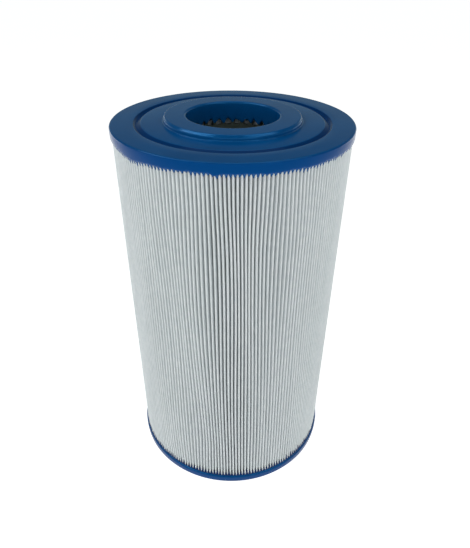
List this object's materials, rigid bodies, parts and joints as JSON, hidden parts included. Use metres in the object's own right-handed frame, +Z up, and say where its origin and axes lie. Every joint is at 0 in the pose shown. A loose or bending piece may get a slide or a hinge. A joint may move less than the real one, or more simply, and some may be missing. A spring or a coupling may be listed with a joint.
{
  "type": "pleated pool filter cartridge",
  "caption": "Upright pleated filter cartridge with cast end caps, a raised collar, a ring groove and an open bore around a perforated core.",
  "frame": {"origin": "centre of the bottom end cap's underside, on the cartridge's axis", "axes": "+Z up the axis towards the collar; +Y towards the sheet's side seam"},
  "size_m": [0.208, 0.208, 0.3635],
  "materials": {
    "end_cap": "cast blue polyurethane, satin to gloss",
    "core": "moulded off-white plastic",
    "media": "white spunbonded polyester, matt with short fibres",
    "adhesive": "set hot-melt adhesive, satin"
  },
  "bodies": {
    "root": {"top_end_cap": "end_cap", "bottom_end_cap": "end_cap", "core_tube": "core", "pleated_media": "media", "media_seam": "adhesive"}
  },
  "joints": []
}
